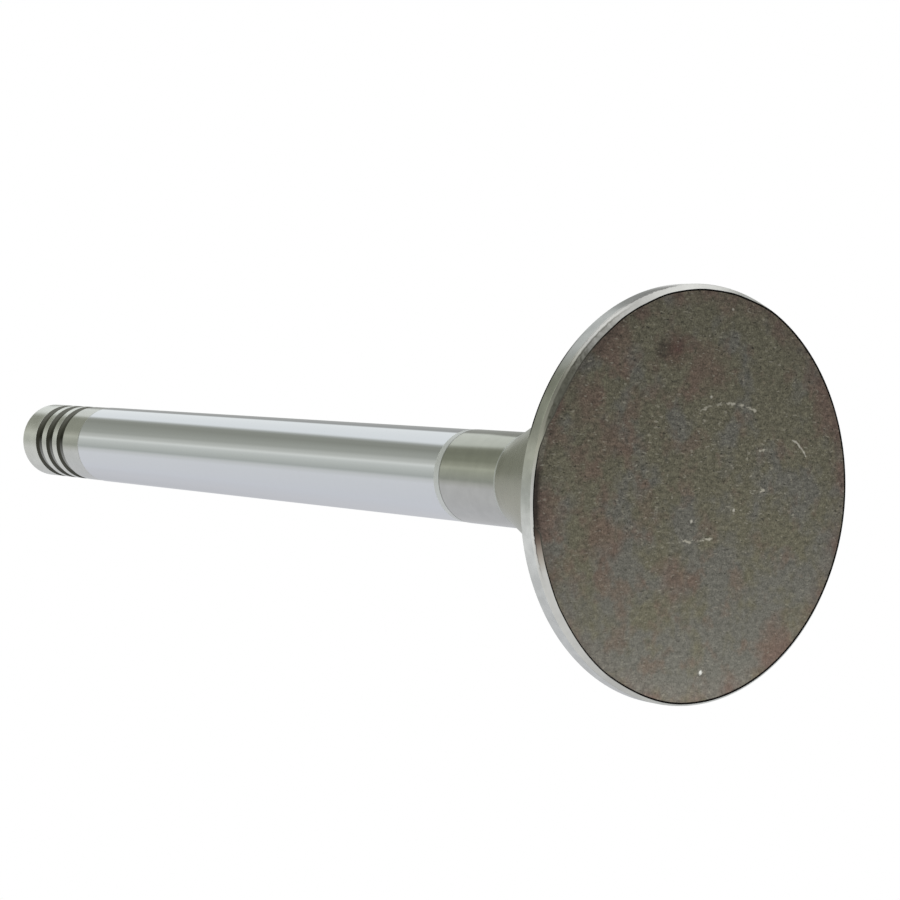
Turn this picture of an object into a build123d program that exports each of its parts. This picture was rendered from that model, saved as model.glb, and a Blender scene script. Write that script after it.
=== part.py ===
"""Poppet valve of a diesel engine, turned and ground from one forging.

The valve stands on its head: the combustion face lies on z = 0, the stem rises along +Z, and the
origin is the centre of the face. Lengths are in millimetres and angles in degrees.
"""

import os
from math import cos, radians, sin, tan

from build123d import *

# Overall
overall_length = 134.1  # combustion face to tip
head_diameter = 40.0

# Head, from the combustion face up
edge_break = 0.3  # 45 degree break between the face and the margin
margin_height = 1.5  # face to the corner where the seat starts
seat_angle = 45.0  # seat to the plane of the face
seat_width = 3.2  # measured along the cone
underhead_angle = 20.0  # underhead cone to the plane of the face
underhead_radius = 10.0  # blend between the underhead cone and the neck cone
neck_angle = 23.0  # neck cone to the axis
neck_height = 24.9  # face to the corner where the neck cone meets the stem

# Stem, with a hard chrome plated running length between two bare lengths
root_diameter = 10.04  # bare length above the neck cone
stem_diameter = 9.96  # over the plating
plating_start = 34.7  # face to the root end of the plating
plating_bevel = 0.9  # length of the shallow bevel between the root and the plating
plating_to_tip = 17.2  # tip end of the plating to the tip
tip_diameter = 9.88  # bare length that carries the keepers
tip_chamfer = 0.8

# Keeper grooves, round in section
groove_count = 3
groove_radius = 0.95
groove_depth = 0.7
groove_pitch = 3.1
groove_to_tip = 5.6  # middle of the outermost groove to the tip


def underhead_corner(seat_inner_radius, seat_top):
    """Radius and height where the underhead cone and the neck cone would meet without the blend."""
    underhead_slope = tan(radians(underhead_angle))
    neck_slope = tan(radians(neck_angle))
    reach = seat_inner_radius - root_diameter / 2 - neck_height * neck_slope
    height = (seat_top + reach * underhead_slope) / (1 - neck_slope * underhead_slope)
    radius = root_diameter / 2 + (neck_height - height) * neck_slope
    return radius, height


head_radius = head_diameter / 2
seat_inner_radius = head_radius - seat_width * cos(radians(seat_angle))
seat_top = margin_height + seat_width * sin(radians(seat_angle))
corner_radius, corner_height = underhead_corner(seat_inner_radius, seat_top)
plating_end = overall_length - plating_to_tip

# The blend ends before the seat does, however short the underhead cone becomes.
underhead_length = (seat_inner_radius - corner_radius) / cos(radians(underhead_angle))
half_turn = radians(90 - underhead_angle - neck_angle) / 2
blend_radius = min(underhead_radius, 0.95 * underhead_length / tan(half_turn))

with BuildPart() as valve:
    with BuildSketch(Plane.XZ) as section:
        with BuildLine():
            Polyline(
                (0, 0),
                (head_radius - edge_break, 0),
                (head_radius, edge_break),
                (head_radius, margin_height),
                (seat_inner_radius, seat_top),
                (corner_radius, corner_height),
                (root_diameter / 2, neck_height),
                (root_diameter / 2, plating_start),
                (stem_diameter / 2, plating_start + plating_bevel),
                (stem_diameter / 2, plating_end),
                (tip_diameter / 2, plating_end),
                (tip_diameter / 2, overall_length - tip_chamfer),
                (tip_diameter / 2 - tip_chamfer, overall_length),
                (0, overall_length),
                close=True,
            )
        make_face()
        blend_corner = section.vertices().sort_by_distance((corner_radius, corner_height))[0]
        fillet(blend_corner, blend_radius)
    revolve(axis=Axis.Z)

    # The keeper grooves are round, with their centres outside the stem.
    groove_centre_radius = tip_diameter / 2 - groove_depth + groove_radius
    with BuildSketch(Plane.XZ):
        for groove in range(groove_count):
            groove_height = overall_length - groove_to_tip - groove * groove_pitch
            with Locations((groove_centre_radius, groove_height)):
                Circle(groove_radius)
    revolve(axis=Axis.Z, mode=Mode.SUBTRACT)

valve.part.label = "valve"
os.makedirs("parts", exist_ok=True)
export_step(valve.part, "parts/valve.step")
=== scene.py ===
"""Engine valve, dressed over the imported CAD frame, with its studio and its camera.

The valve stands on its combustion face, with its stem along +Z. The turned surface is a lathe mesh
with a small round on every machined corner. The combustion face is a fine grid that carries the
forged texture as real relief. Lengths are in millimetres until they are multiplied by MM, and
angles round the head run from +X towards +Y.
"""

from math import asin, atan2, cos, degrees, exp, pi, radians, sin, sqrt, tan

import bpy
from mathutils import Matrix, Vector, noise


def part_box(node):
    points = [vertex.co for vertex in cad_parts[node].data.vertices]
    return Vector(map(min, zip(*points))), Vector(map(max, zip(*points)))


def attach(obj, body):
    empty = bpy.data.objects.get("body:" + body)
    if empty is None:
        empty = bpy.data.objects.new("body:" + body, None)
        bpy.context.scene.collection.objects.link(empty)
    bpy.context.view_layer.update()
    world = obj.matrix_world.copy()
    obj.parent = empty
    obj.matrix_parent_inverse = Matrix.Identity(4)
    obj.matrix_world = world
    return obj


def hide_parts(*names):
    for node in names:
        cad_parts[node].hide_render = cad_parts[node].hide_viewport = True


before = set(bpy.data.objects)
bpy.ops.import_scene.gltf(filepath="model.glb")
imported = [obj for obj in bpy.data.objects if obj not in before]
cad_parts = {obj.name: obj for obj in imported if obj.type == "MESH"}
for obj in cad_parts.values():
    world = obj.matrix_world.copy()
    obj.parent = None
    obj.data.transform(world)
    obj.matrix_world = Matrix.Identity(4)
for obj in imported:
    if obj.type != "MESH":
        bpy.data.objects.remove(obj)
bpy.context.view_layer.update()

MM = 0.001
TURN = 2 * pi

# Sizes: the head's radius and the length are the CAD solid's own, the rest are given
HEAD_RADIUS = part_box("valve")[1].x / MM
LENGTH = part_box("valve")[1].z / MM
MARGIN_HEIGHT = 1.5
SEAT_ANGLE = radians(45)
SEAT_WIDTH = 3.2
UNDERHEAD_ANGLE = radians(20)
UNDERHEAD_RADIUS = 10.0
NECK_ANGLE = radians(23)
NECK_HEIGHT = 24.9
ROOT_RADIUS = 5.02
STEM_RADIUS = 4.98
TIP_RADIUS = 4.94
PLATING_START = 34.7
PLATING_BEVEL = 0.9
PLATING_TO_TIP = 17.2
TIP_CHAMFER = 0.8
GROOVE_COUNT = 3
GROOVE_RADIUS = 0.95
GROOVE_DEPTH = 0.7
GROOVE_PITCH = 3.1
GROOVE_TO_TIP = 5.6

# The break round the face is uneven, because the forging ran out of true with the grinding:
# (degrees round the head, width of the break there)
EDGE_BREAKS = [
    (0, 0.44), (12, 0.28), (26, 0.03), (90, 0.03), (132, 0.18), (180, 0.16), (206, 0.46),
    (234, 0.76), (246, 0.86), (256.5, 0.86), (259.5, 0.24), (270, 0.24), (279, 0.27), (285, 0.52),
    (291, 0.86), (298, 1.00), (310, 0.95), (320, 0.94), (327, 0.82), (334, 0.77), (346, 0.58),
    (360, 0.44)]
BREAK_RISE = 0.12  # the most that the break rises
FACE_RIM = 0.17  # width of the painted shade line between the face and the break

# Small forms that the CAD solid leaves out
SMALL_ROUND = 0.12  # on the margin's corner and the tip's edge
ROUND = 0.15  # on the seat's upper corner and the chamfer's lower one
LINE_DEPTH = 0.01  # of the fine lines turned at the neck and below the plating
GROOVE_LIP = 0.02  # by which a groove's edges are eased
GROOVE_WALL = 0.62  # share of a groove's sweep at which its floor ends and its upper wall starts

# Relief of the forged face: size and depth of each of its forms
SWELL_SIZE, SWELL_DEPTH = 6.0, 0.03
PEBBLE_SIZE, PEBBLE_DEPTH = 0.75, 0.035
PIT_SIZE, PIT_DEPTH, PIT_LEVEL = 0.8, 0.22, 0.40
NICK_SIZE, NICK_DEPTH = 0.30, 0.12

# Mesh fineness
GRID = 216  # cells across the combustion face, whose edge then has 4 * GRID corners
SEGMENTS = 432  # round the lathe mesh
PER_SEGMENT = 4 * GRID // SEGMENTS  # cells of the face's edge that meet one segment
ROUND_STEPS = 3  # along the round on a machined corner
BLEND_STEPS = 18  # along the underhead blend
GROOVE_STEPS = 10  # across a keeper groove
HOLD = 0.05  # from the end of a round to the ring that holds the flat beside it
FAR_HOLD = 0.12  # from a groove's edge to a second such ring

# Marks on the combustion face: places (x, y) from its centre, and lines between two places
RING_ARCS = [
    ((8.0, -0.3), (8.55, 1.1)), ((8.55, 1.1), (8.98, 2.8)), ((8.98, 2.8), (8.94, 4.9)),
    ((8.94, 4.9), (8.5, 6.9)), ((-4.4, -1.7), (-4.3, 0.4)), ((-4.3, 0.4), (-4.0, 2.4)),
    ((0.6, 7.0), (0.9, 8.7)), ((4.7, 7.8), (4.8, 8.9))]
SCRATCHES = [((5.95, 12.1), (5.85, 12.6)), ((5.85, 12.6), (5.1, 13.6)), ((5.1, 13.6), (4.5, 14.1))]
BRIGHT_SPOTS = [(-1.2, 4.95), (-2.5, -0.4), (9.4, 1.0), (17.94, 2.97)]
NICK = (-16.85, 2.25)
RED_BLOTCH = (13.6, -3.9)
DARK_BLOTCH = (13.4, -5.4)
# Heat stains: x, y and reach
STAINS = [
    (13.8, -10.7, 2.2), (7.8, -14.7, 1.8), (4.5, -11.7, 1.9), (-1.7, -6.3, 1.4),
    (-4.4, -11.2, 2.2), (-8.1, -2.3, 1.8), (9.0, 17.1, 1.8), (-2.9, -17.8, 1.5),
    (12.2, 0.1, 2.0), (-13.8, 12.0, 2.2)]


# ---------------------------------------------------------------- geometry

def edge_break_at(angle):
    """Width of the break at an angle round the head, eased between the places in EDGE_BREAKS."""
    turn = degrees(angle) % 360
    for (start, low), (end, high) in zip(EDGE_BREAKS, EDGE_BREAKS[1:]):
        if turn <= end:
            share = (turn - start) / (end - start)
            return low + (high - low) * share * share * (3 - 2 * share)
    return EDGE_BREAKS[-1][1]


def break_height_at(angle):
    """Rise of the break: as high as it is wide, up to BREAK_RISE."""
    return min(edge_break_at(angle), BREAK_RISE)


def face_relief(x, y):
    """Depth of the forged face at a place: never negative, so the face stays inside the solid."""
    place = Vector((x, y, 0))
    swell = noise.noise(place / SWELL_SIZE) * 0.5 + 0.5
    pebble = noise.fractal(place / PEBBLE_SIZE, 0.8, 2.0, 3, noise_basis="PERLIN_ORIGINAL")
    pit = max(0.0, noise.noise(place / PIT_SIZE + Vector((31, 7, 3))) - PIT_LEVEL)
    depth = SWELL_DEPTH * swell + PEBBLE_DEPTH * (pebble + 1.0) + PIT_DEPTH * pit
    off_nick = (place - Vector((*NICK, 0))).length
    depth += NICK_DEPTH * exp(-(off_nick / NICK_SIZE) ** 2)
    return max(0.0, depth)


def disc_place(column, row):
    """Grid corner to (angle, share of the radius), with equal steps round every square ring."""
    u = 2 * column / GRID - 1
    v = 2 * row / GRID - 1
    if u == 0 and v == 0:
        return 0.0, 0.0
    if abs(u) >= abs(v):
        share = u
        angle = pi / 4 * v / u
    else:
        share = v
        angle = pi / 2 - pi / 4 * u / v
    if share < 0:
        share = -share
        angle += pi
    return angle % TURN, share


def arc(centre, radius, start, end, steps):
    """Points (radius, height) on an arc, at angles from the radius axis towards +Z."""
    for step in range(steps + 1):
        angle = start + (end - start) * step / steps
        yield centre[0] + radius * cos(angle), centre[1] + radius * sin(angle)


def corner_round(before, corner, after, radius):
    """A corner of the outline as a small arc, with a close ring at each end to hold the flats."""
    corner = Vector(corner)
    back = Vector(before) - corner
    ahead = Vector(after) - corner
    half = back.angle(ahead) / 2
    reach = min(radius / tan(half), 0.3 * back.length, 0.3 * ahead.length)
    first = corner + back.normalized() * reach
    last = corner + ahead.normalized() * reach
    yield tuple(first + back.normalized() * min(HOLD, 0.3 * back.length))
    for step in range(ROUND_STEPS + 1):
        share = step / ROUND_STEPS
        yield tuple((1 - share) ** 2 * first + 2 * share * (1 - share) * corner + share ** 2 * last)
    yield tuple(last + ahead.normalized() * min(HOLD, 0.3 * ahead.length))


def underhead_blend(seat_radius, seat_top):
    """The arc between the underhead cone and the neck cone: centre, first and last point."""
    slope = tan(UNDERHEAD_ANGLE)
    flare = tan(NECK_ANGLE)
    reach = seat_radius - ROOT_RADIUS - NECK_HEIGHT * flare
    corner_height = (seat_top + reach * slope) / (1 - flare * slope)
    corner_radius = ROOT_RADIUS + (NECK_HEIGHT - corner_height) * flare
    length = UNDERHEAD_RADIUS * tan((pi / 2 - UNDERHEAD_ANGLE - NECK_ANGLE) / 2)
    low = (corner_radius + length * cos(UNDERHEAD_ANGLE),
           corner_height - length * sin(UNDERHEAD_ANGLE))
    high = (corner_radius - length * sin(NECK_ANGLE), corner_height + length * cos(NECK_ANGLE))
    centre = (low[0] + UNDERHEAD_RADIUS * sin(UNDERHEAD_ANGLE),
              low[1] + UNDERHEAD_RADIUS * cos(UNDERHEAD_ANGLE))
    return centre, low, high


def keeper_grooves():
    """The round grooves from the lowest up: points (radius, height, zone of the band above)."""
    out = GROOVE_RADIUS - GROOVE_DEPTH
    half_width = sqrt(GROOVE_RADIUS ** 2 - out ** 2)
    edge = asin(half_width / GROOVE_RADIUS)
    for groove in reversed(range(GROOVE_COUNT)):
        middle = LENGTH - GROOVE_TO_TIP - groove * GROOVE_PITCH
        low, high = middle - half_width, middle + half_width
        centre = (TIP_RADIUS + out, middle)
        sweep = list(arc(centre, GROOVE_RADIUS, pi + edge, pi - edge, GROOVE_STEPS))
        below = "tip" if groove == GROOVE_COUNT - 1 else "land"
        yield TIP_RADIUS, low - FAR_HOLD, below
        yield TIP_RADIUS, low - HOLD, below
        yield TIP_RADIUS - GROOVE_LIP, low + GROOVE_LIP, "groove_floor"
        for step, (radius, height) in enumerate(sweep[1:-1]):
            on_floor = step < GROOVE_WALL * GROOVE_STEPS
            yield radius, height, "groove_floor" if on_floor else "groove_wall"
        yield TIP_RADIUS - GROOVE_LIP, high - GROOVE_LIP, "land"
        yield TIP_RADIUS, high + HOLD, "land"
        yield TIP_RADIUS, high + FAR_HOLD, "land"


def outline():
    """The turned outline above the edge break: (radius, height, zone of the band above)."""
    seat_radius = HEAD_RADIUS - SEAT_WIDTH * cos(SEAT_ANGLE)
    seat_top = MARGIN_HEIGHT + SEAT_WIDTH * sin(SEAT_ANGLE)
    centre, blend_low, blend_high = underhead_blend(seat_radius, seat_top)
    plating_end = LENGTH - PLATING_TO_TIP
    bevel_end = PLATING_START + PLATING_BEVEL
    margin_top = (HEAD_RADIUS, MARGIN_HEIGHT)
    seat_end = (seat_radius, seat_top)
    chamfer_low = (TIP_RADIUS, LENGTH - TIP_CHAMFER)
    chamfer_high = (TIP_RADIUS - TIP_CHAMFER, LENGTH)
    rings = []

    def band(zone, points):
        rings.extend((radius, height, zone) for radius, height in points)

    # Head: margin, seat and underhead
    corner = list(corner_round((HEAD_RADIUS, 0), margin_top, seat_end, SMALL_ROUND))
    band("margin", corner[:-1])
    band("seat", corner[-1:])
    band("underhead", corner_round(margin_top, seat_end, blend_low, ROUND))
    start, end = (atan2(point[1] - centre[1], point[0] - centre[0]) % TURN
                  for point in (blend_low, blend_high))
    band("underhead", arc(centre, UNDERHEAD_RADIUS, start, end, BLEND_STEPS))

    # Bare root between two fine turned lines
    band("underhead", [(ROOT_RADIUS + 0.06 * tan(NECK_ANGLE), NECK_HEIGHT - 0.06)])
    band("neck_line", [(ROOT_RADIUS, NECK_HEIGHT + 0.02),
                       (ROOT_RADIUS - LINE_DEPTH, NECK_HEIGHT + 0.12)])
    band("root", [(ROOT_RADIUS, NECK_HEIGHT + 0.22), (ROOT_RADIUS, PLATING_START - 0.30),
                  (ROOT_RADIUS, PLATING_START - 0.20)])
    band("line", [(ROOT_RADIUS - LINE_DEPTH, PLATING_START - 0.13),
                  (ROOT_RADIUS - 3 * LINE_DEPTH, PLATING_START - 0.07)])

    # Plating, which starts in a bevel and ends in a small step down to the bare tip
    band("bevel", [(ROOT_RADIUS - LINE_DEPTH, PLATING_START),
                   (ROOT_RADIUS - LINE_DEPTH, PLATING_START + 0.05),
                   (STEM_RADIUS, bevel_end - 0.05)])
    band("plating", [(STEM_RADIUS, bevel_end), (STEM_RADIUS, bevel_end + 0.1),
                     (STEM_RADIUS, plating_end - 0.25), (STEM_RADIUS, plating_end - 0.14)])
    band("bevel", [(STEM_RADIUS - LINE_DEPTH, plating_end - 0.08)])

    # Tip, grooves, chamfer and the tip's face
    band("tip", [(TIP_RADIUS, plating_end + 0.04), (TIP_RADIUS, plating_end + 0.14)])
    rings.extend(keeper_grooves())
    band("land", corner_round((TIP_RADIUS, LENGTH - 3), chamfer_low, chamfer_high, ROUND))
    band("tip", corner_round(chamfer_low, chamfer_high, (0, LENGTH), SMALL_ROUND))
    band("tip", [(TIP_RADIUS * share, LENGTH) for share in (0.6, 0.35, 0.12)])
    return rings


class Skin:
    """The valve's surface in the making: corners, faces, and the zone of every face."""

    def __init__(self):
        self.corners = []
        self.faces = []
        self.zones = []

    def face(self, corners, zone):
        self.faces.append(corners)
        self.zones.append(zone)

    def ring(self, radius_at, height_at):
        """Adds a ring of corners whose radius and height may change round the axis."""
        start = len(self.corners)
        for segment in range(SEGMENTS):
            angle = TURN * segment / SEGMENTS
            radius = radius_at(angle)
            self.corners.append((radius * cos(angle), radius * sin(angle), height_at(angle)))
        return start

    def join(self, low, high, zone):
        """Closes the band between two rings."""
        for segment in range(SEGMENTS):
            after = (segment + 1) % SEGMENTS
            self.face((low + segment, low + after, high + after, high + segment), zone)

    def forged_face(self):
        """Adds the combustion face as a grid; returns the corners on its edge, in their order."""
        row_length = GRID + 1
        on_edge = {}
        for row in range(row_length):
            for column in range(row_length):
                angle, share = disc_place(column, row)
                radius = share * (HEAD_RADIUS - edge_break_at(angle) - FACE_RIM)
                x, y = radius * cos(angle), radius * sin(angle)
                if row in (0, GRID) or column in (0, GRID):
                    place_on_edge = round(angle / TURN * 4 * GRID) % (4 * GRID)
                    on_edge[place_on_edge] = len(self.corners)
                self.corners.append((x, y, face_relief(x, y)))
        for row in range(GRID):
            for column in range(GRID):
                first = row * row_length + column
                corners = (first, first + row_length, first + row_length + 1, first + 1)
                self.face(corners, "face")
        return on_edge

    def mesh(self, name):
        """The finished mesh, with one material for each zone."""
        mesh = bpy.data.meshes.new(name)
        mesh.from_pydata([Vector(corner) * MM for corner in self.corners], [], self.faces)
        for material in MATERIALS.values():
            mesh.materials.append(material)
        order = list(MATERIALS)
        mesh.polygons.foreach_set("material_index", [order.index(zone) for zone in self.zones])
        mesh.shade_smooth()
        mesh.validate()
        mesh.update()
        return mesh


def build_valve():
    """One closed mesh: the forged face as a grid, joined to the rings of the lathe."""
    skin = Skin()
    on_edge = skin.forged_face()

    # The rim, a painted shade line, joins the grid's edge to the first ring
    previous = skin.ring(lambda a: HEAD_RADIUS - edge_break_at(a), lambda a: 0.0)
    for segment in range(SEGMENTS):
        after = (segment + 1) % SEGMENTS
        inner = [on_edge[(PER_SEGMENT * segment + step) % (4 * GRID)]
                 for step in range(PER_SEGMENT + 1)]
        skin.face((previous + after, previous + segment, *inner), "rim")

    # The break slopes up to the margin: shares of its width, and the zone below each ring
    for share, zone in ((0.06, "break"), (0.92, "break"), (1.0, "break"), (1.08, "margin")):
        here = skin.ring(lambda a: HEAD_RADIUS - edge_break_at(a) * max(0.0, 1 - share),
                         lambda a: break_height_at(a) * share)
        skin.join(previous, here, zone)
        previous = here

    zone_below = "margin"
    for radius, height, zone in outline():
        here = skin.ring(lambda a: radius, lambda a: height)
        skin.join(previous, here, zone_below)
        previous = here
        zone_below = zone
    top = len(skin.corners)
    skin.corners.append((0, 0, LENGTH))
    for segment in range(SEGMENTS):
        skin.face((previous + segment, previous + (segment + 1) % SEGMENTS, top), "tip")
    return add_object("valve_surface", skin.mesh("valve_surface"))


def add_object(name, data, unseen_by=()):
    """A new object in the scene, left out of sight of the named kinds of ray."""
    made = bpy.data.objects.new(name, data)
    for ray in unseen_by:
        setattr(made, "visible_" + ray, False)
    bpy.context.collection.objects.link(made)
    return made


# ---------------------------------------------------------------- materials

WHITE = (1, 1, 1, 1)
AXIS = (0, 0)


class Tree:
    """Adds nodes to a node tree. Inputs are given by name or number, as values or as sockets."""

    def __init__(self, tree):
        self.tree = tree

    def set(self, socket, value):
        if isinstance(value, bpy.types.NodeSocket):
            self.tree.links.new(value, socket)
        else:
            socket.default_value = value

    def add(self, kind, inputs=None, **settings):
        made = self.tree.nodes.new(kind)
        for name, value in settings.items():
            setattr(made, name, value)
        for name, value in (inputs or {}).items():
            self.set(made.inputs[name], value)
        return made

    def math(self, operation, *values, clamp=False):
        inputs = dict(enumerate(values))
        return self.add("ShaderNodeMath", inputs, operation=operation, use_clamp=clamp).outputs[0]

    def vector(self, operation, *values):
        return self.add("ShaderNodeVectorMath", dict(enumerate(values)), operation=operation)

    def stretched(self, place, factors):
        return self.vector("MULTIPLY", place, factors).outputs[0]

    def mix(self, share, first, second, blend="MIX"):
        made = self.add("ShaderNodeMix", data_type="RGBA", blend_type=blend)
        for number, value in ((0, share), (6, first), (7, second)):
            self.set(made.inputs[number], value)
        return made.outputs[2]

    def times(self, first, second):
        """Two colours multiplied."""
        return self.mix(1.0, first, second, "MULTIPLY")

    def grey(self, value):
        """One value as all three channels of a colour."""
        return self.add("ShaderNodeCombineColor", {0: value, 1: value, 2: value}).outputs[0]

    def tint(self, shader, colour, share=None):
        """Multiplies the shader's present colour, everywhere or by a share."""
        if share is not None:
            colour = self.mix(share, WHITE, colour)
        base = shader.inputs["Base Color"]
        self.set(base, self.times(base.links[0].from_socket, colour))

    def ramp(self, share, stops):
        made = self.add("ShaderNodeValToRGB", {0: share})
        elements = made.color_ramp.elements
        while len(elements) < len(stops):
            elements.new(1.0)
        for element, (position, colour) in zip(elements, stops):
            element.position = position
            element.color = (*colour, 1.0)
        return made.outputs[0]

    def range(self, value, from_low, from_high, to_low, to_high):
        inputs = {0: value, 1: from_low, 2: from_high, 3: to_low, 4: to_high}
        return self.add("ShaderNodeMapRange", inputs).outputs[0]

    def between(self, value, start, full, less, end):
        """1 from full to less, falling to 0 at start and at end."""
        return self.math("MULTIPLY", self.range(value, start, full, 0, 1),
                         self.range(value, less, end, 1, 0))

    def noise(self, place, size, detail=2.0, roughness=0.5):
        """Noise whose largest forms have about the given size."""
        inputs = {"Vector": place, "Scale": 1 / (size * MM), "Detail": detail,
                  "Roughness": roughness}
        return self.add("ShaderNodeTexNoise", inputs).outputs[0]

    def parts(self, vector):
        """The X, Y and Z of a vector."""
        return self.add("ShaderNodeSeparateXYZ", {0: vector}).outputs

    def height(self, place):
        return self.math("MULTIPLY", self.parts(place)[2], 1 / MM)

    def round_share(self, place):
        """How far round the axis from +X towards +Y, as a share of a turn."""
        x, y, _ = self.parts(place)
        turn = self.math("ARCTAN2", y, x)
        return self.math("FRACT", self.math("MULTIPLY", turn, 0.5 / pi))

    def degrees_round(self, place):
        return self.math("MULTIPLY", self.round_share(place), 360)

    def round_colour(self, place, stops):
        """A colour that changes round the axis: stops are (degrees, colour) pairs."""
        return self.ramp(self.round_share(place), [(turn / 360, colour) for turn, colour in stops])

    def round_level(self, place, levels):
        """A factor that changes round the axis: levels are (degrees, factor) pairs."""
        return self.round_colour(place, [(turn, (level,) * 3) for turn, level in levels])

    def away(self, place, point):
        """Distance from a point (x, y) of the face."""
        offset = self.vector("SUBTRACT", place, (point[0] * MM, point[1] * MM, 0)).outputs[0]
        return self.math("MULTIPLY", self.vector("LENGTH", offset).outputs[1], 1 / MM)

    def away_from_line(self, place, start, end):
        """Distance from a line on the face between two points (x, y)."""
        line = Vector((end[0] - start[0], end[1] - start[1], 0)) * MM
        offset = self.vector("SUBTRACT", place, (start[0] * MM, start[1] * MM, 0)).outputs[0]
        along = self.vector("DOT_PRODUCT", offset, tuple(line / line.length_squared)).outputs[1]
        share = self.math("ADD", along, 0.0, clamp=True)
        inputs = {0: tuple(line), "Scale": share}
        nearest = self.add("ShaderNodeVectorMath", inputs, operation="SCALE").outputs[0]
        gap = self.vector("SUBTRACT", offset, nearest).outputs[0]
        return self.math("MULTIPLY", self.vector("LENGTH", gap).outputs[1], 1 / MM)

    def nearest(self, distances):
        least = distances[0]
        for distance in distances[1:]:
            least = self.math("MINIMUM", least, distance)
        return least


def new_material(name):
    """A material with its Principled shader; returns (material, Tree, shader, place)."""
    material = bpy.data.materials.new(name)
    material.use_nodes = True
    tree = Tree(material.node_tree)
    shader = material.node_tree.nodes["Principled BSDF"]
    place = tree.add("ShaderNodeTexCoord").outputs["Object"]
    return material, tree, shader, place


def turned_steel(name, colour, roughness, line=0.06, line_bump=0.1, blotch=0.03, lines_show=0.04):
    """Ground or turned steel: fine lines round the axis and slight clouds, in colour and gloss."""
    material, tree, shader, place = new_material(name)
    lines = tree.noise(tree.stretched(place, (0.02, 0.02, 1.0)), line, 3.0, 0.6)
    clouds = tree.noise(place, 1.6, 4.0, 0.6)
    darker = (*(channel * (1 - 2.2 * blotch) for channel in colour), 1.0)
    clouded = tree.mix(tree.range(clouds, 0.35, 0.65, 0, 1), darker, (*colour, 1.0))
    low = 1 - lines_show
    lined = tree.mix(tree.range(lines, 0.3, 0.7, 0, 1), (low, low, low, 1), WHITE)
    tree.set(shader.inputs["Base Color"], tree.times(clouded, lined))
    shader.inputs["Metallic"].default_value = 1.0
    gloss = tree.math("ADD", lines, clouds)
    gloss = tree.range(gloss, 0.6, 1.4, roughness * 0.85, roughness * 1.15)
    tree.set(shader.inputs["Roughness"], gloss)
    relief = {"Strength": line_bump, "Distance": 0.006 * MM, "Height": lines}
    tree.set(shader.inputs["Normal"], tree.add("ShaderNodeBump", relief).outputs[0])
    return material, tree, shader, place


def plain_steel(*look, **details):
    """Turned steel of one tone all over."""
    return turned_steel(*look, **details)[0]


def steel_lit_across(name, roughness, levels):
    """Turned steel with painted light and shade across X: levels are (distance from the axis,
    colour).
    """
    material, tree, shader, place = turned_steel(name, (1.0, 1.0, 1.0), roughness)
    share = tree.range(tree.parts(place)[0], -5 * MM, 5 * MM, 0, 1)
    tree.tint(shader, tree.ramp(share, [(x / 10 + 0.5, colour) for x, colour in levels]))
    return material


def shaded_rim_line():
    """The line where the forged face ends: painted black shade, and painted lighter where the break
    is wide.
    """
    material, tree, shader, place = turned_steel("shaded_rim_line", (1.0, 0.95, 0.80), 0.8)
    # Painted shade: black round most of the head, painted lighter where the break is wide
    tree.tint(shader, tree.round_level(place, [
        (0, 0.010), (200, 0.012), (210, 0.030), (246, 0.030), (249, 0.060), (251, 0.16),
        (257, 0.14), (259.5, 0.050), (261, 0.008), (274, 0.004), (279, 0.080), (283, 0.15),
        (298, 0.15), (306, 0.12), (313, 0.080), (319, 0.010), (350, 0.004)]))
    return material


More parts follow.
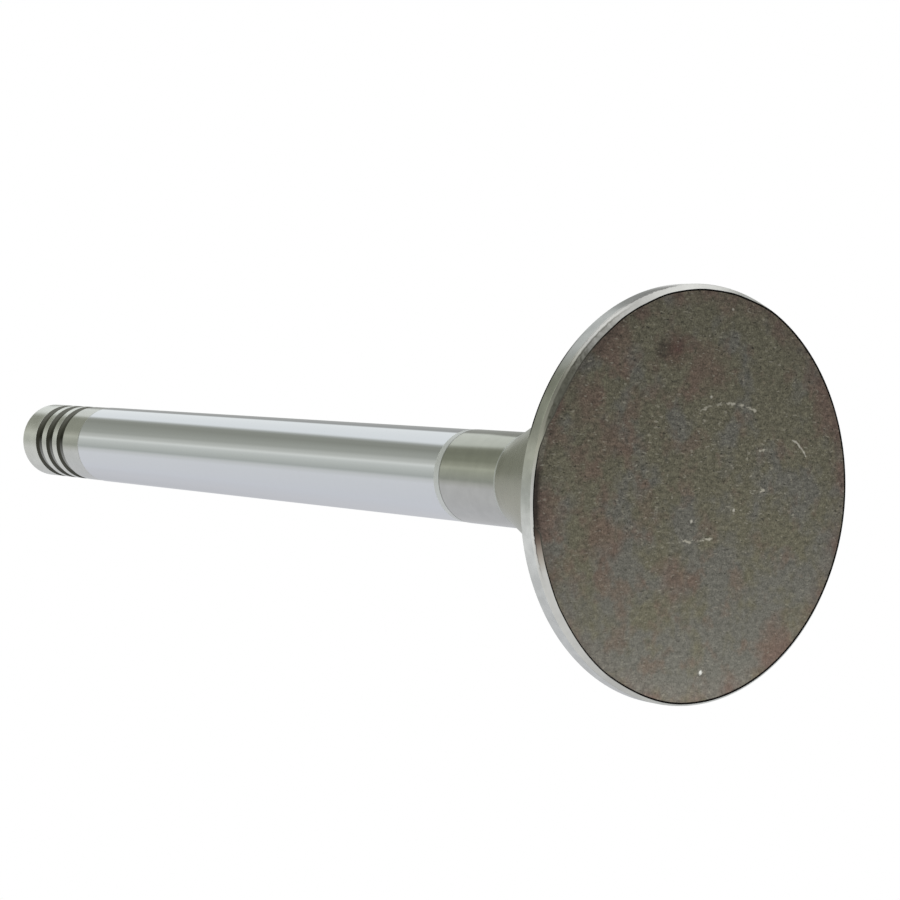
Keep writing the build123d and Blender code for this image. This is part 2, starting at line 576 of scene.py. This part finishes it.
def ground_break():
    """The ground break: painted light and shade round the head, darker inside where it is wide,
    with a burnt start.
    """
    material, tree, shader, place = turned_steel(
        "ground_break", (1.0, 1.0, 0.97), 0.42, blotch=0.04)
    turn = tree.degrees_round(place)
    tree.tint(shader, (1, 1, 0.86, 1), tree.between(turn, 270, 280, 300, 312))
    # Painted light and shade: the break's level round the head
    tree.tint(shader, tree.round_level(place, [
        (0, 0.95), (12, 0.75), (40, 0.65), (206, 0.62), (224, 0.74), (248, 0.76), (257, 0.88),
        (264, 0.73), (272, 0.59), (280, 0.49), (286, 0.33), (296, 0.24), (300, 0.29),
        (304, 0.43), (308, 0.66), (312, 0.66), (320, 0.92), (326, 0.87), (332, 0.65),
        (350, 0.95)]))

    # The inner part, darker by a share that changes round the head; its edges wander
    worn = tree.noise(place, 0.5, 3.0, 0.6)
    radius = tree.math("ADD", tree.away(place, AXIS), tree.range(worn, 0.3, 0.7, -0.05, 0.05))
    land = tree.round_level(place, [
        (282, 0.0), (288, 0.64), (296, 0.50), (300, 0.55), (304, 0.69), (308, 0.70),
        (313, 0.54), (321, 0.52), (327, 0.22), (333, 0.0)])
    land = tree.math("MULTIPLY", land, tree.range(worn, 0.3, 0.7, 0.75, 1.22))
    inner = tree.range(radius, 19.62, 19.70, 1, 0)
    tree.tint(shader, (0.03, 0.025, 0, 1), tree.math("MULTIPLY", inner, land))

    # Painted shade on the outer edge, by a level round the head, and a groove along the middle
    # drawn as a painted shade line
    outer_edge_shade = tree.round_level(place, [
        (284, 1.0), (292, 0.9), (304, 0.72), (326, 0.72), (331, 0.42), (345, 0.42), (349, 1.0)])
    tree.tint(shader, outer_edge_shade, tree.range(radius, 19.85, 19.91, 0, 1))
    groove = tree.math("MULTIPLY", tree.between(radius, 19.48, 19.54, 19.60, 19.66),
                       tree.between(turn, 298, 304, 322, 332))
    tree.tint(shader, (0.72, 0.72, 0.70, 1), groove)

    # The burnt start: a wedge, and a line along its outer side
    burnt = tree.round_colour(place, [
        (246, (1.00, 1.00, 1.00)), (249, (0.78, 0.74, 0.69)), (252.5, (0.54, 0.47, 0.42)),
        (255, (0.26, 0.20, 0.17)), (257, (0.12, 0.095, 0.08)), (259, (0.075, 0.06, 0.05)),
        (260, (0.07, 0.055, 0.045)), (260.5, (1.00, 1.00, 1.00))])
    tree.tint(shader, burnt, tree.range(radius, 19.70, 19.76, 1, 0))
    line = tree.round_level(place, [(244, 1.0), (248, 0.74), (251, 0.62), (254, 0.34), (257, 0.10)])
    line = tree.mix(tree.between(turn, 244, 245, 259.5, 260.5), WHITE, line)
    tree.tint(shader, line, tree.between(radius, 19.62, 19.69, 19.74, 19.81))
    return material


def ground_margin():
    """The ground margin: painted light and shade round the head, with a painted shade line and a
    painted highlight line on parts of its edges.
    """
    material, tree, shader, place = turned_steel(
        "ground_margin", (1.0, 1.0, 0.96), 0.22, blotch=0.08)
    # Painted light and shade: the margin's level round the head
    tree.tint(shader, tree.round_level(place, [
        (0, 0.66), (180, 0.40), (206, 0.62), (240, 0.66), (257, 0.76), (266, 0.70), (273, 0.52),
        (280, 0.47), (286, 0.39), (292, 0.55), (300, 0.47), (304, 0.50), (308, 0.43),
        (326, 0.44), (332, 0.42), (338, 0.28), (344, 0.25), (350, 0.52), (354, 0.66)]))
    turn = tree.degrees_round(place)
    height = tree.height(place)
    tree.tint(shader, (1, 1, 0.92, 1), tree.between(turn, 268, 276, 298, 308))
    # Painted highlight: brighter towards the top edge, on one side
    painted_highlight_up = tree.grey(tree.range(height, 0.3, 1.3, 0.6, 2.1))
    tree.tint(shader, painted_highlight_up, tree.between(turn, 333, 341, 346, 350))
    # A painted shade line along the top edge
    painted_shade_line = tree.math("MULTIPLY", tree.range(height, 1.28, 1.34, 0, 1),
                          tree.between(turn, 281, 286, 306, 316))
    tree.tint(shader, (0.06, 0.06, 0.05, 1), painted_shade_line)
    # A painted highlight line along the lower edge
    painted_highlight_line = tree.math("MULTIPLY", tree.range(height, 0.14, 0.30, 1, 0),
                            tree.between(turn, 282, 286, 299, 304))
    tree.tint(shader, (1.35, 1.35, 1.33, 1), painted_highlight_line)
    return material


# Colours of the forged face
OLIVE = (0.130, 0.122, 0.084, 1)
BROWN = (0.140, 0.106, 0.080, 1)
GREY = (0.130, 0.127, 0.111, 1)
STAIN_BROWN = (0.138, 0.096, 0.074, 1)
RIM_BROWN = (0.115, 0.078, 0.064, 1)
RIM_BLACK = (0.016, 0.011, 0.008, 1)
RIM_PALE = (0.150, 0.145, 0.115, 1)
BLOTCH_RED = (0.096, 0.044, 0.037, 1)
BLOTCH_DARK = (0.040, 0.036, 0.026, 1)
# Painted glint colour of the flecks
FLECK_GLINT = (0.34, 0.32, 0.26, 1)
PIT_BLACK = (0.024, 0.021, 0.015, 1)
ARC_STEEL = (0.42, 0.40, 0.33, 1)
BARE_STEEL = (0.60, 0.58, 0.50, 1)
NICK_STEEL = (0.64, 0.64, 0.60, 1)


def stains_and_sheen(tree, place, shifted, patches, left, down):
    """The face's ground colour: olive, greyer in patches and, as painted sheen, greyer downwards,
    browner to the left, with stains.
    """
    greyer_and_sheen = tree.noise(shifted, 4.5, 3.0, 0.6)
    # Painted sheen: greyer downwards, added to the grey patches
    greyer_and_sheen = tree.math("ADD", greyer_and_sheen, tree.range(down, -10, 14, -0.05, 0.12))
    browner = tree.math("ADD", patches, tree.range(left, -4, 18, 0, 0.06))
    colour = tree.mix(tree.range(greyer_and_sheen, 0.48, 0.62, 0, 0.85), OLIVE, GREY)
    colour = tree.mix(tree.range(browner, 0.54, 0.66, 0, 0.7), colour, BROWN)
    stained = tree.nearest([
        tree.math("SUBTRACT", tree.away(place, (x, y)), reach) for x, y, reach in STAINS])
    stained = tree.math("ADD", stained, tree.range(patches, 0.2, 0.8, 3.0, -3.0))
    return tree.mix(tree.range(stained, -1.0, 1.4, 0.65, 0), colour, STAIN_BROWN)


def heated_rim(tree, place, patches, radius, colour):
    """Red-brown heat tint along the face's edge, painted light and shade round the head near it,
    and a dark and a pale band inside it.
    """
    turn = tree.degrees_round(place)
    tinted = tree.math("MULTIPLY", tree.range(radius, 17.6, 19.4, 0, 1),
                       tree.range(patches, 0.4, 0.6, 0.15, 0.7))
    colour = tree.mix(tinted, colour, RIM_BROWN)
    # Painted light and shade near the edge, by a level that changes round the head
    rim_light_and_shade = tree.round_level(place, [
        (0, 0.52), (30, 0.50), (180, 0.56), (232, 0.56), (243, 0.46), (258, 0.43), (272, 0.40),
        (300, 0.42), (308, 0.32), (320, 0.32), (332, 0.44), (350, 0.52)])
    level = tree.times(rim_light_and_shade, (2, 2, 2, 1))
    colour = tree.mix(tree.range(radius, 17.4, 19.0, 0, 1), colour, tree.times(colour, level))
    dark = tree.math("MULTIPLY", tree.range(radius, 18.85, 19.30, 0, 1),
                     tree.between(turn, 256, 261, 273, 278))
    colour = tree.mix(tree.math("MULTIPLY", dark, 0.92), colour, RIM_BLACK)
    pale = tree.math("MULTIPLY", tree.range(radius, 18.90, 19.10, 0, 1),
                     tree.between(turn, 274, 279, 282, 287))
    return tree.mix(tree.math("MULTIPLY", pale, 0.7), colour, RIM_PALE)


def blotches(tree, place, colour):
    """Two heat blotches, one red and one dark, with ragged edges."""
    edge = tree.math("MULTIPLY", tree.noise(place, 0.9, 3.0, 0.6), 2.0)
    red = tree.math("ADD", tree.away(place, RED_BLOTCH), edge)
    colour = tree.mix(tree.range(red, 1.2, 3.2, 0.8, 0), colour, BLOTCH_RED)
    dark = tree.math("ADD", tree.away(place, DARK_BLOTCH), edge)
    return tree.mix(tree.range(dark, 1.0, 2.4, 0.75, 0), colour, BLOTCH_DARK)


def glints_and_pits(tree, along, aside, radius, down, colour):
    """Painted glints on raised grains, more of them round the ring marks, and black pits; both lie
    along Y.
    """
    fewer_down = tree.range(down, -2, 10, 1.0, 0.5)
    gathered = tree.math("MULTIPLY", tree.between(radius, 2.5, 5.0, 8.5, 10.5), 0.025)
    # Painted glints: pale flecks as raised grains catching the light
    fleck_glint = tree.math("ADD", tree.noise(aside, 0.40, 1.5, 0.5), gathered)
    fleck_glint = tree.math("MULTIPLY", tree.range(fleck_glint, 0.65, 0.72, 0, 0.6), fewer_down)
    colour = tree.mix(fleck_glint, colour, FLECK_GLINT)
    pit = tree.range(tree.noise(along, 0.40, 1.5, 0.5), 0.66, 0.73, 0, 0.8)
    return tree.mix(tree.math("MULTIPLY", pit, fewer_down), colour, PIT_BLACK)


def bare_marks(tree, place, shifted, aside, colour):
    """Bright marks: broken arcs, scratches, spots and one nick, all with ragged edges."""
    ragged = tree.math("MULTIPLY", tree.noise(shifted, 0.35, 2.0, 0.6), 0.24)
    wandering = tree.math("MULTIPLY", tree.noise(place, 0.6, 2.0, 0.6), 0.7)
    arcs = tree.nearest([tree.away_from_line(place, *line) for line in RING_ARCS])
    arcs = tree.range(tree.math("ADD", arcs, wandering), 0.40, 0.52, 1, 0)
    broken = tree.range(tree.noise(aside, 0.45, 1.5, 0.5), 0.42, 0.54, 0.1, 1.0)
    colour = tree.mix(tree.math("MULTIPLY", arcs, broken), colour, ARC_STEEL)
    scratches = tree.nearest([tree.away_from_line(place, *line) for line in SCRATCHES])
    scratches = tree.range(tree.math("ADD", scratches, ragged), 0.16, 0.26, 0.8, 0)
    colour = tree.mix(scratches, colour, BARE_STEEL)
    spots = tree.nearest([tree.away(place, point) for point in BRIGHT_SPOTS])
    spots = tree.range(tree.math("ADD", spots, ragged), 0.20, 0.34, 0.7, 0)
    colour = tree.mix(spots, colour, BARE_STEEL)
    nick = tree.math("ADD", tree.away(place, NICK), tree.math("MULTIPLY", ragged, 2.0))
    return tree.mix(tree.range(nick, 0.44, 0.58, 1, 0), colour, NICK_STEEL)


def forged_face():
    """Forged, shot blasted and heat stained steel: grain, painted glints, pits, stains and marks,
    and painted light, shade and sheen.
    """
    material, tree, shader, place = new_material("forged_face")
    shifted = tree.vector("ADD", place, (0.05, 0.02, 0.09)).outputs[0]
    along = tree.stretched(place, (1.4, 0.65, 1.0))
    aside = tree.stretched(shifted, (1.6, 0.6, 1.0))
    x, y, _ = tree.parts(place)
    left = tree.math("MULTIPLY", y, -1 / MM)  # left and down as in the main view
    down = tree.math("MULTIPLY", x, -1 / MM)
    radius = tree.away(place, AXIS)
    patches = tree.noise(place, 3.4, 3.0, 0.6)

    colour = stains_and_sheen(tree, place, shifted, patches, left, down)
    colour = heated_rim(tree, place, patches, radius, colour)
    # Painted light: lighter towards the lower left of the main view
    painted_light_lift = tree.range(tree.math("ADD", down, left), 8, 22, 1.0, 1.12)
    colour = blotches(tree, place, tree.times(colour, tree.grey(painted_light_lift)))

    # Pebbled grain, in colour, gloss and relief
    grain = tree.noise(along, 0.48, 3.0, 0.6)
    fine = tree.noise(shifted, 0.17, 2.0, 0.6)
    tone = tree.math("MULTIPLY", tree.range(grain, 0.30, 0.70, 0.66, 1.34),
                     tree.range(fine, 0.3, 0.7, 0.60, 1.40))
    rougher_up = tree.range(down, -4, 12, 1.0, 0.62)
    colour = tree.mix(rougher_up, colour, tree.times(colour, tree.grey(tone)))
    relief = tree.math("ADD", grain, tree.math("MULTIPLY", fine, 0.4))
    relief = {"Strength": rougher_up, "Distance": 0.06 * MM, "Height": relief}
    tree.set(shader.inputs["Normal"], tree.add("ShaderNodeBump", relief).outputs[0])
    tree.set(shader.inputs["Roughness"], tree.range(grain, 0.3, 0.7, 0.62, 0.48))

    colour = glints_and_pits(tree, along, aside, radius, down, colour)
    colour = bare_marks(tree, place, shifted, aside, colour)
    tree.set(shader.inputs["Base Color"], colour)
    shader.inputs["Metallic"].default_value = 0.2
    shader.inputs["Specular IOR Level"].default_value = 0.3
    return material


# The zones of the surface, each with its material
MATERIALS = {
    "face": forged_face(),
    "rim": shaded_rim_line(),
    "break": ground_break(),
    "margin": ground_margin(),
    "seat": plain_steel("ground_seat", (0.58, 0.58, 0.56), 0.20),
    "underhead": plain_steel("turned_underhead", (0.49, 0.49, 0.42), 0.28, line=0.12),
    "neck_line": plain_steel("neck_line", (0.52, 0.53, 0.50), 0.4),
    # Painted light and shade across X on the ground root
    "root": steel_lit_across("ground_root", 0.13, [
        (-1.2, (0.49, 0.485, 0.465)), (0.6, (0.405, 0.41, 0.35)), (1.6, (0.39, 0.395, 0.335)),
        (2.1, (0.42, 0.425, 0.365)), (2.5, (0.475, 0.48, 0.42)), (3.5, (0.46, 0.465, 0.405))]),
    # The line where the plating starts: painted shade in the step's corner
    "line": plain_steel("shaded_plating_line", (0.30, 0.30, 0.28), 0.4),
    "bevel": plain_steel("unpolished_bevel", (0.69, 0.70, 0.68), 0.55),
    "plating": plain_steel("hard_chrome", (0.66, 0.67, 0.69), 0.05,
                           line_bump=0.03, blotch=0.0, lines_show=0.02),
    # Painted light and shade across X on the ground tip
    "tip": steel_lit_across("ground_tip", 0.16, [
        (-1.4, (0.59, 0.59, 0.56)), (-0.4, (0.50, 0.50, 0.45)), (1.4, (0.51, 0.51, 0.46)),
        (2.9, (0.66, 0.66, 0.61)), (4.2, (0.50, 0.50, 0.45))]),
    "land": plain_steel("ground_land", (0.71, 0.71, 0.66), 0.26, blotch=0.05),
    # The keeper grooves: painted shade in the recess, with painted light and shade across X
    "groove_floor": steel_lit_across("groove_floor", 0.4, [
        (-3.4, (0.36, 0.36, 0.35)), (0.4, (0.036, 0.036, 0.027)), (1.8, (0.075, 0.075, 0.058))]),
    "groove_wall": steel_lit_across("groove_wall", 0.4, [
        (-4.4, (0.10, 0.10, 0.088)), (-1.2, (0.062, 0.062, 0.050)), (0.3, (0.048, 0.048, 0.036)),
        (1.6, (0.080, 0.080, 0.062)), (4.4, (0.17, 0.17, 0.15))]),
}


# ---------------------------------------------------------------- studio

# Light that falls on the object from above and from below the horizon
SKY_LIGHT = (0.62, 0.62, 0.61, 1)
GROUND_LIGHT = (0.28, 0.28, 0.275, 1)

TENT_RADIUS = 4.0
TENT_COLUMNS = 64
TENT_ROWS = 32

# The tent's cloth. Round the wall and the skirt, 0.5 is the side that faces the main camera, and
# towards 0 lies +X, which is up in the main view. Across the roof and the ground, 0.5 is the axis.
TENT_WALL = [
    (0.00, (1.00, 1.00, 1.00)), (0.025, (0.45, 0.46, 0.45)), (0.135, (0.40, 0.41, 0.40)),
    (0.155, (0.96, 1.00, 1.00)), (0.276, (0.95, 0.99, 1.00)), (0.287, (0.82, 0.86, 0.85)),
    (0.300, (0.50, 0.52, 0.49)), (0.317, (0.35, 0.365, 0.32)), (0.345, (0.33, 0.345, 0.30)),
    (0.375, (0.42, 0.44, 0.39)), (0.40, (0.46, 0.48, 0.43)), (0.418, (0.59, 0.61, 0.56)),
    (0.435, (0.66, 0.68, 0.63)), (0.452, (0.86, 0.89, 0.84)), (0.47, (0.71, 0.74, 0.70)),
    (0.50, (0.61, 0.64, 0.60)), (0.53, (0.52, 0.55, 0.52)), (0.55, (0.72, 0.74, 0.73)),
    (0.58, (0.82, 0.84, 0.86)), (0.77, (0.77, 0.79, 0.83)), (0.87, (0.71, 0.72, 0.75)),
    (0.97, (0.60, 0.61, 0.64))]
TENT_ROOF = [
    (0.0, (0.56, 0.56, 0.55)), (0.55, (0.48, 0.49, 0.46)), (0.68, (0.29, 0.30, 0.26)),
    (1.0, (0.26, 0.27, 0.23))]
TENT_GROUND = [
    (0.0, (0.82, 0.82, 0.82)), (0.5, (0.72, 0.72, 0.71)), (0.62, (0.72, 0.72, 0.71)),
    (0.72, (1.00, 1.00, 1.00))]
# Three flags low on the wall, for views from level and from above
TENT_SKIRT = [
    (0.00, (0.76, 0.77, 0.77)), (0.05, (0.62, 0.63, 0.62)), (0.09, (0.34, 0.35, 0.33)),
    (0.15, (0.38, 0.39, 0.37)), (0.165, (0.90, 0.93, 0.93)), (0.27, (0.98, 1.00, 1.00)),
    (0.37, (0.84, 0.86, 0.87)), (0.42, (0.58, 0.60, 0.58)), (0.45, (0.36, 0.37, 0.34)),
    (0.50, (0.34, 0.35, 0.32)), (0.515, (0.78, 0.80, 0.79)), (0.60, (0.98, 1.00, 1.00)),
    (0.69, (0.88, 0.89, 0.91)), (0.75, (0.54, 0.55, 0.54)), (0.79, (0.38, 0.39, 0.37)),
    (0.835, (0.42, 0.43, 0.41)), (0.85, (0.94, 0.96, 0.97)), (0.94, (0.84, 0.86, 0.87)),
    (1.00, (0.76, 0.77, 0.77))]

FLOOR_REACH = 3.0
FLOOR_STEPS = 96
FLOOR_DROP = 0.02 * MM  # just below the face, so that the two never share a plane
FLOOR_FADE = (250, 1300)  # where the floor starts to fade into the backdrop, and where it ends


def studio_world():
    """White wherever the camera, steel or glass sees it, and a plain soft level as light."""
    world = bpy.data.worlds.new("studio")
    bpy.context.scene.world = world
    world.use_nodes = True
    tree = Tree(world.node_tree)
    tree.tree.nodes.clear()
    up = tree.parts(tree.add("ShaderNodeTexCoord").outputs["Generated"])[2]
    level = tree.mix(tree.range(up, -0.05, 0.05, 0, 1), GROUND_LIGHT, SKY_LIGHT)
    soft = tree.add("ShaderNodeBackground", {"Color": level, "Strength": 1.0}).outputs[0]
    white = tree.add("ShaderNodeBackground", {"Color": WHITE, "Strength": 1.0}).outputs[0]
    ray = tree.add("ShaderNodeLightPath").outputs
    seen = tree.math("MAXIMUM", ray["Is Camera Ray"], ray["Is Glossy Ray"])
    seen = tree.math("MAXIMUM", seen, ray["Is Transmission Ray"])
    shown = tree.add("ShaderNodeMixShader", {0: seen, 1: soft, 2: white}).outputs[0]
    tree.add("ShaderNodeOutputWorld", {"Surface": shown})


def tent_cloth():
    """Glowing cloth: a wall of leaning panels with a roof above, and a skirt over the ground."""
    material = bpy.data.materials.new("tent_cloth")
    material.use_nodes = True
    tree = Tree(material.node_tree)
    tree.tree.nodes.clear()
    place = tree.add("ShaderNodeTexCoord").outputs["Object"]
    x, y, z = tree.parts(tree.vector("NORMALIZE", place).outputs[0])
    turn = tree.math("ARCTAN2", x, tree.math("MULTIPLY", y, -1.0))
    turn = tree.range(turn, pi, -pi, 0.0, 1.0)

    # The panels' edges move round with height, on either side by its own amount
    lean = tree.math("MULTIPLY", tree.range(turn, 0.31, 0.37, 1.0, 0.0),
                     tree.range(turn, 0.15, 0.25, 0.36, 0.48))
    lean = tree.math("ADD", lean, tree.range(turn, 0.66, 0.74, 0.0, 1.0))
    rise = tree.math("MULTIPLY", tree.range(z, 0.805, 0.905, 0.0, 0.10), lean)
    dip = tree.math("MULTIPLY", tree.range(z, 0.755, 0.785, -0.06, 0.0),
                    tree.range(turn, 0.14, 0.22, 1.0, 0.0))
    wall = tree.ramp(tree.math("ADD", turn, tree.math("ADD", rise, dip)), TENT_WALL)
    roof = tree.ramp(tree.range(x, -0.20, 0.20, 0.0, 1.0), TENT_ROOF)
    ground = tree.ramp(tree.range(x, -1.0, 1.0, 0.0, 1.0), TENT_GROUND)
    skirt = tree.ramp(turn, TENT_SKIRT)

    cloth = tree.mix(tree.range(z, -0.62, -0.50, 0.0, 1.0), ground, skirt)
    cloth = tree.mix(tree.range(z, 0.10, 0.30, 0.0, 1.0), cloth, wall)
    cloth = tree.mix(tree.range(z, 0.90, 0.95, 0.0, 1.0), cloth, roof)
    glow = tree.add("ShaderNodeEmission", {"Color": cloth, "Strength": 1.0}).outputs[0]
    tree.add("ShaderNodeOutputMaterial", {"Surface": glow})
    return material


def studio_tent():
    """A round cloth tent with darker flags: what the polished steel mirrors, out of shot."""
    vertices = [(0, 0, -TENT_RADIUS), (0, 0, TENT_RADIUS)]
    for row in range(1, TENT_ROWS):
        rise = pi * row / TENT_ROWS - pi / 2
        for column in range(TENT_COLUMNS):
            turn = TURN * column / TENT_COLUMNS
            vertices.append((TENT_RADIUS * cos(rise) * cos(turn),
                             TENT_RADIUS * cos(rise) * sin(turn), TENT_RADIUS * sin(rise)))
    faces = []
    last = 2 + (TENT_ROWS - 2) * TENT_COLUMNS
    for column in range(TENT_COLUMNS):
        after = (column + 1) % TENT_COLUMNS
        faces.append((0, 2 + after, 2 + column))
        faces.append((1, last + column, last + after))
        for row in range(TENT_ROWS - 2):
            low = 2 + row * TENT_COLUMNS
            high = low + TENT_COLUMNS
            faces.append((low + column, low + after, high + after, high + column))
    mesh = bpy.data.meshes.new("tent")
    mesh.from_pydata(vertices, [], faces)
    mesh.materials.append(tent_cloth())
    add_object("tent", mesh, ("camera", "diffuse", "transmission", "shadow"))


def studio_floor():
    """Pale floor that keeps the shadow: only the camera sees it, and only from above."""
    turns = [TURN * step / FLOOR_STEPS for step in range(FLOOR_STEPS)]
    rim = [(FLOOR_REACH * cos(turn), FLOOR_REACH * sin(turn), -FLOOR_DROP) for turn in turns]
    mesh = bpy.data.meshes.new("floor")
    mesh.from_pydata(rim, [], [tuple(range(FLOOR_STEPS))])
    material, tree, shader, place = new_material("floor")
    shader.inputs["Base Color"].default_value = (0.86, 0.86, 0.86, 1)
    shader.inputs["Roughness"].default_value = 0.9
    shader.inputs["Specular IOR Level"].default_value = 0.1
    clear = tree.add("ShaderNodeBsdfTransparent").outputs[0]
    below = tree.add("ShaderNodeNewGeometry").outputs["Backfacing"]
    unseen = tree.math("MAXIMUM", below, tree.range(tree.away(place, AXIS), *FLOOR_FADE, 0, 1))
    shown = tree.add("ShaderNodeMixShader", {0: unseen, 1: shader.outputs[0], 2: clear}).outputs[0]
    tree.set(material.node_tree.nodes["Material Output"].inputs["Surface"], shown)
    mesh.materials.append(material)
    add_object("floor", mesh, ("diffuse", "glossy", "transmission", "shadow"))


def soft_lamp(name, place, aim, size, watts):
    """A round soft lamp; steel mirrors the tent and not the lamp."""
    lamp = bpy.data.lights.new(name, "AREA")
    lamp.shape = "DISK"
    lamp.size = size
    lamp.energy = watts
    made = add_object(name, lamp, ("glossy", "camera"))
    made.location = place
    made.rotation_euler = (Vector(aim) - Vector(place)).to_track_quat("-Z", "Y").to_euler()


# ---------------------------------------------------------------- camera

# Place and angles at which the outline falls on the photograph's
CAMERA_PLACE = Vector((2.593, -149.45, -162.81)) * MM
CAMERA_RISE = radians(53.579)  # the view looks up by this much, along +Y
CAMERA_ROLL = radians(-4.167)  # of the picture's upright away from +X
IMAGE_WIDTH = 900
FOCAL_PIXELS = 2322
SENSOR_WIDTH = 36.0


def camera():
    """The main camera, which stands as the photograph's did."""
    data = bpy.data.cameras.new("camera")
    data.sensor_width = SENSOR_WIDTH
    data.lens = SENSOR_WIDTH * FOCAL_PIXELS / IMAGE_WIDTH
    data.clip_start = 0.01
    data.clip_end = 20
    forward = Vector((0, cos(CAMERA_RISE), sin(CAMERA_RISE)))
    right = forward.cross(Vector((1, 0, 0))).normalized()
    right = Matrix.Rotation(CAMERA_ROLL, 3, forward) @ right
    up = right.cross(forward)
    turn = Matrix((right, up, -forward)).transposed()
    made = add_object("camera", data)
    made.matrix_world = Matrix.Translation(CAMERA_PLACE) @ turn.to_4x4()
    bpy.context.scene.camera = made


camera()
valve = build_valve()
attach(valve, "root")
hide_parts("valve")
studio_world()
studio_tent()
studio_floor()
soft_lamp("key", place=(0.80, -0.48, 1.44), aim=(0, 0, 0.05), size=0.8, watts=14.0)
soft_lamp("under", place=(-0.045, 0.012, -0.032), aim=(-0.01, 0, 0), size=0.04, watts=0.0306)
bpy.context.scene.view_settings.view_transform = "Standard"
